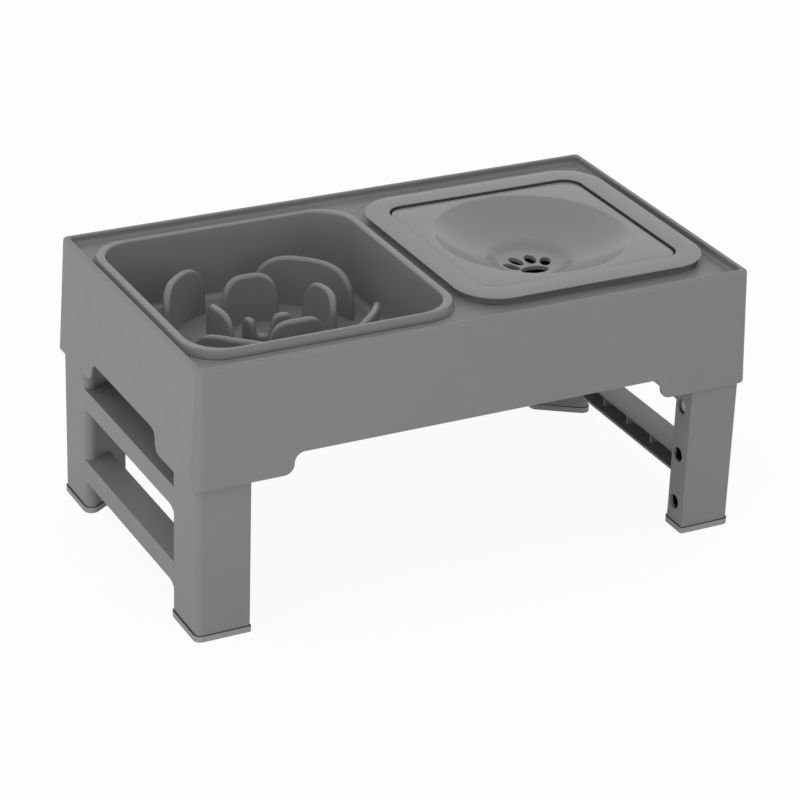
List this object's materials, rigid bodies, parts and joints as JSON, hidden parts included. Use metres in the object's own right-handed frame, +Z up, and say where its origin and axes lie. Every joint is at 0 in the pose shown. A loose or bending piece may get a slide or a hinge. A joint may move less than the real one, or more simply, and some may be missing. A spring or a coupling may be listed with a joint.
{
  "type": "elevated dog feeder",
  "caption": "Raised stand on height-adjustable legs, holding a drop-in slow feeder bowl with curved ridges and a drop-in water bowl with a dished splash cover.",
  "frame": {"origin": "middle of the footprint, on the floor that the feet stand on", "axes": "+X along the stand towards the water bowl, +Y to the back, +Z up"},
  "size_m": [0.4294, 0.2494, 0.202],
  "materials": {
    "stand_plastic": "fine matte moulded plastic, mid grey",
    "bowl_plastic": "satin moulded plastic, slightly lighter grey",
    "cover_plastic": "satin moulded plastic, slightly lighter grey",
    "button_plastic": "matte moulded plastic, light grey",
    "foot_rubber": "soft grip rubber, lighter grey",
    "spring_steel": "bright drawn steel wire"
  },
  "bodies": {
    "tray": {"stand_top": "stand_plastic", "front_left_seat": "stand_plastic", "rear_left_seat": "stand_plastic", "front_right_seat": "stand_plastic", "rear_right_seat": "stand_plastic", "front_left_spring": "spring_steel", "rear_left_spring": "spring_steel", "front_right_spring": "spring_steel", "rear_right_spring": "spring_steel"},
    "left_legs": {"left_frame": "stand_plastic", "front_left_foot": "foot_rubber", "rear_left_foot": "foot_rubber"},
    "right_legs": {"right_frame": "stand_plastic", "front_right_foot": "foot_rubber", "rear_right_foot": "foot_rubber"},
    "slow_bowl": {"slow_feeder_bowl": "bowl_plastic"},
    "water_pan": {"water_bowl": "bowl_plastic"},
    "cover": {"splash_cover": "cover_plastic"},
    "front_left_push_button": {"front_left_button": "button_plastic"},
    "rear_left_push_button": {"rear_left_button": "button_plastic"},
    "front_right_push_button": {"front_right_button": "button_plastic"},
    "rear_right_push_button": {"rear_right_button": "button_plastic"}
  },
  "joints": [
    {"name": "left_height", "type": "slide", "parent": "tray", "child": "left_legs", "axis": [0, 0, 1], "range_m": [0, 0.0385]},
    {"name": "right_height", "type": "slide", "parent": "tray", "child": "right_legs", "axis": [0, 0, 1], "range_m": [0, 0.0385]},
    {"name": "front_left_press", "type": "slide", "parent": "tray", "child": "front_left_push_button", "axis": [-1, 0, 0], "range_m": [0, 0.005], "stiffness_N_per_m": 600, "springref_m": -0.004, "deforming": ["front_left_spring"]},
    {"name": "rear_left_press", "type": "slide", "parent": "tray", "child": "rear_left_push_button", "axis": [-1, 0, 0], "range_m": [0, 0.005], "stiffness_N_per_m": 600, "springref_m": -0.004, "deforming": ["rear_left_spring"]},
    {"name": "front_right_press", "type": "slide", "parent": "tray", "child": "front_right_push_button", "axis": [1, 0, 0], "range_m": [0, 0.005], "stiffness_N_per_m": 600, "springref_m": -0.004, "deforming": ["front_right_spring"]},
    {"name": "rear_right_press", "type": "slide", "parent": "tray", "child": "rear_right_push_button", "axis": [1, 0, 0], "range_m": [0, 0.005], "stiffness_N_per_m": 600, "springref_m": -0.004, "deforming": ["rear_right_spring"]},
    {"name": "slow_bowl_lift", "type": "slide", "parent": "tray", "child": "slow_bowl", "axis": [0, 0, 1], "range_m": [0, 0.08]},
    {"name": "water_bowl_lift", "type": "slide", "parent": "tray", "child": "water_pan", "axis": [0, 0, 1], "range_m": [0, 0.08]},
    {"name": "cover_lift", "type": "slide", "parent": "water_pan", "child": "cover", "axis": [0, 0, 1], "range_m": [0, 0.04]}
  ]
}
